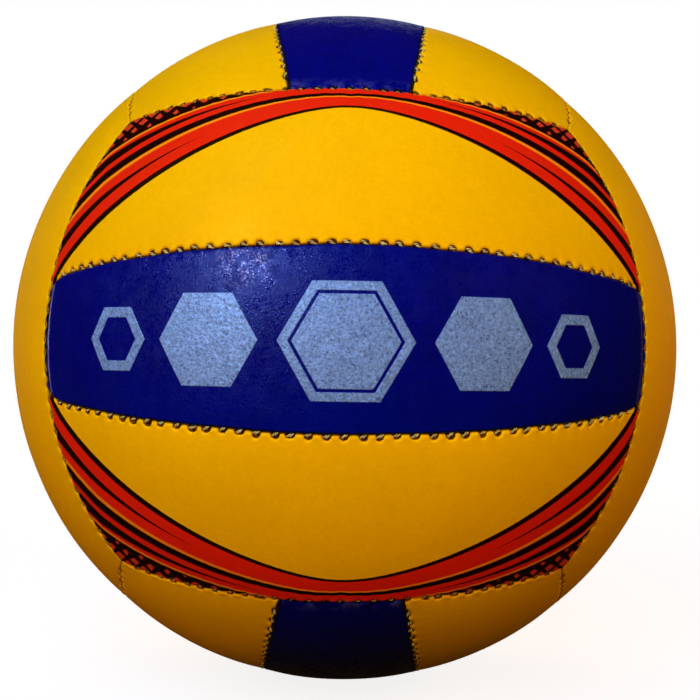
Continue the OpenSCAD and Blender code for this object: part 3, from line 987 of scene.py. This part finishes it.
MAT = {
    "cover_yellow": cover("yellow_cover", YELLOW),
    "cover_yellow_printed": cover("yellow_cover_printed", YELLOW, "wings"),
    "cover_blue": cover("blue_cover", BLUE, spec=0.6, rough=(0.27, 0.46), grain=0.6, tint=(0.18, 0.30, 1.0)),
    "cover_blue_printed": cover("blue_cover_foiled", BLUE, "foil", spec=0.6, rough=(0.27, 0.46), grain=0.6, tint=(0.18, 0.30, 1.0)),
    "thread": thread_material(),
    "foam": foam_material(),
    "lining_cloth": cloth_material(),
    "bladder_rubber": rubber_material("butyl_bladder", (0.018, 0.018, 0.018), (0.06, 0.06, 0.058), 0.5),
    "valve_rubber": rubber_material("valve_moulding", (0.022, 0.022, 0.024), (0.085, 0.082, 0.078), 0.46, 900, 0.3),
    "plug_rubber": rubber_material("valve_plug", (0.05, 0.05, 0.053), (0.14, 0.135, 0.13), 0.55, 1100, 0.3),
}

# ---------------------------------------------------------------- build
slots = {s["node"]: s["material_slot"] for s in frame["record"]["subparts"]}
for face, rows in FACES.items():
    for row in rows:
        ob, grid = build_panel(face, row)
        node = f"{face}_{row}_panel"
        ob.data.materials.append(MAT[slots[node]])
        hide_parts(node)
        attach(ob, "ball")
        pad = build_pad(f"{face}_{row}_pad", grid)
        pad.data.materials.append(MAT["foam"])
        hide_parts(f"{face}_{row}_foam")
        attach(pad, "ball")

groups = {f"{face}_strip": [s for s in SEAMS if s.kind == "strip" and s.name.rsplit("_", 1)[0] == face] for face in FACES}
for word, pair in (("crosswise", ("front", "back")), ("lengthwise", ("top", "bottom")), ("upright", ("left", "right"))):
    groups[f"{word}_edge"] = [s for s in SEAMS if s.kind == "edge" and s.name.rsplit("_", 1)[0] in pair]
for name, seams in groups.items():
    ob = build_stitches(f"{name}_stitches", seams)
    ob.data.materials.append(MAT["thread"])
    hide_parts(f"{name}_thread")
    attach(ob, "ball")

for name, ob in frame["nodes"].items():
    if ob.hide_render:
        continue
    if not ob.material_slots:
        ob.data.materials.append(None)
    for sl in ob.material_slots:
        sl.material = MAT[slots[name]]

# ---------------------------------------------------------------- floor, camera, light
fm = Tree("pale_floor")
co = fm.t.nodes.new("ShaderNodeSeparateXYZ")
fm.link(fm.obj, co.inputs[0])
grain = fm.span(fm.noise(14, 4, 0.6), 0.3, 0.7, 0.965, 1.0)
fm.link(fm.mix(grain, (0.20, 0.20, 0.20), (0.23, 0.23, 0.23)), fm.p.inputs["Base Color"])
fm.p.inputs["Roughness"].default_value = 0.9
fm.p.inputs["Specular IOR Level"].default_value = 0.0
fm.p.inputs["Emission Color"].default_value = (1, 1, 1, 1)
fm.p.inputs["Emission Strength"].default_value = 0.85
far = fm.math("POWER", fm.math("ADD", fm.math("POWER", co.outputs[0], 2.0), fm.math("POWER", co.outputs[1], 2.0)), 0.5)
clear = fm.t.nodes.new("ShaderNodeBsdfTransparent")
mixer = fm.t.nodes.new("ShaderNodeMixShader")
fm.link(fm.span(far, 0.22, 0.75, 0.0, 1.0, "SMOOTHSTEP"), mixer.inputs[0])
fm.t.links.new(fm.p.outputs[0], mixer.inputs[1])
fm.t.links.new(clear.outputs[0], mixer.inputs[2])
fm.t.links.new(mixer.outputs[0], fm.out.inputs[0])
n = 96
ring = [(0.8 * math.cos(2 * math.pi * i / n), 0.8 * math.sin(2 * math.pi * i / n), 0) for i in range(n)]
me = bpy.data.meshes.new("studio_floor")
me.from_pydata(ring, [], [tuple(range(n))])
floor = bpy.data.objects.new("studio_floor", me)
floor.location = (0, 0, -0.1052)
me.materials.append(fm.m)
bpy.context.scene.collection.objects.link(floor)
floor.visible_diffuse = False
floor.visible_glossy = False


def rot(axis, a):
    c, s = math.cos(a), math.sin(a)
    if axis == "x":
        return np.array([[1, 0, 0], [0, c, -s], [0, s, c]])
    if axis == "y":
        return np.array([[c, 0, s], [0, 1, 0], [-s, 0, c]])
    return np.array([[c, -s, 0], [s, c, 0], [0, 0, 1]])


Rm = rot("y", math.radians(0.98)) @ rot("x", math.radians(-0.80)) @ rot("z", math.radians(0.18))
cam_data = bpy.data.cameras.new("camera")
cam_data.lens, cam_data.sensor_width = 54.93, 36.0
cam_data.shift_x, cam_data.shift_y = 0.0074, -0.0032
cam = bpy.data.objects.new("camera", cam_data)
bpy.context.scene.collection.objects.link(cam)
C = np.array([[1, 0, 0], [0, 0, -1], [0, 1, 0]], float)  # columns: the camera's own axes
W = Rm.T @ C
at = Rm.T @ np.array([0, -0.35396, 0])
mat = Matrix.Identity(4)
for i in range(3):
    for j in range(3):
        mat[i][j] = W[i, j]
    mat[i][3] = at[i]
cam.matrix_world = mat
bpy.context.scene.camera = cam


def lamp(name, direction, dist, size, level, colour=(1, 1, 1)):
    """An area lamp that alone would light a white surface facing it to `level`."""
    d = Vector(direction).normalized()
    data = bpy.data.lights.new(name, "AREA")
    data.shape = "DISK"
    data.size = size
    data.energy = level * math.pi**2 * dist * dist
    data.color = colour
    ob = bpy.data.objects.new(name, data)
    ob.location = d * dist
    ob.rotation_mode = "QUATERNION"
    ob.rotation_quaternion = (-d).to_track_quat("-Z", "Y")
    bpy.context.scene.collection.objects.link(ob)
    return ob


for ob_, glossy in (
    (lamp("key", (-0.23, -0.73, 0.65), 1.1, 0.95, 1.07, (0.230, 0.568, 1.0)), False),
    (lamp("warm_left", (-0.55, -0.80, 0.24), 1.1, 0.8, 0.62, (1.0, 0.46, 0.04)), False),
    (lamp("warm_right", (0.66, -0.64, 0.33), 1.1, 0.8, 0.47, (1.0, 0.47, 0.04)), False),
    (lamp("left_gloss", (-0.508, -0.761, 0.402), 1.0, 0.12, 0.42), True),
    (lamp("back_right", (0.62, 0.76, 0.1), 1.2, 0.9, 0.52, (1.0, 0.72, 0.5)), False),
    (lamp("back_left", (-0.62, 0.76, 0.1), 1.2, 0.9, 0.48, (0.95, 0.85, 0.6)), False),
    (lamp("back_top", (-0.1, 0.78, 0.62), 1.2, 0.9, 0.50, (1.0, 0.38, 0.3)), False),
    (lamp("back_gloss", (0.12, 0.96, 0.25), 1.1, 0.14, 0.25), True),
    (lamp("top_gloss", (0.04, 0.87, 0.50), 1.15, 0.34, 0.013, (0.75, 0.85, 1.0)), True),
):
    ob_.visible_glossy = glossy
    ob_.visible_diffuse = not glossy

world = bpy.data.worlds.new("studio")
bpy.context.scene.world = world
world.use_nodes = True
wt = world.node_tree
wt.nodes.clear()
wo = wt.nodes.new("ShaderNodeOutputWorld")
wb = wt.nodes.new("ShaderNodeBackground")
wc = wt.nodes.new("ShaderNodeBackground")
wm = wt.nodes.new("ShaderNodeMixShader")
lp = wt.nodes.new("ShaderNodeLightPath")
wb.inputs[0].default_value = (1.0, 0.55, 0.18, 1)
wb.inputs[1].default_value = 0.017
wc.inputs[0].default_value = (1, 1, 1, 1)
wc.inputs[1].default_value = 1.0
wt.links.new(lp.outputs["Is Camera Ray"], wm.inputs[0])
wt.links.new(wb.outputs[0], wm.inputs[1])
wt.links.new(wc.outputs[0], wm.inputs[2])
wt.links.new(wm.outputs[0], wo.inputs[0])

sc = bpy.context.scene
sc.view_settings.view_transform = "Standard"
sc.view_settings.look = "None"
sc.view_settings.exposure = 0.0
sc.view_settings.gamma = 1.0
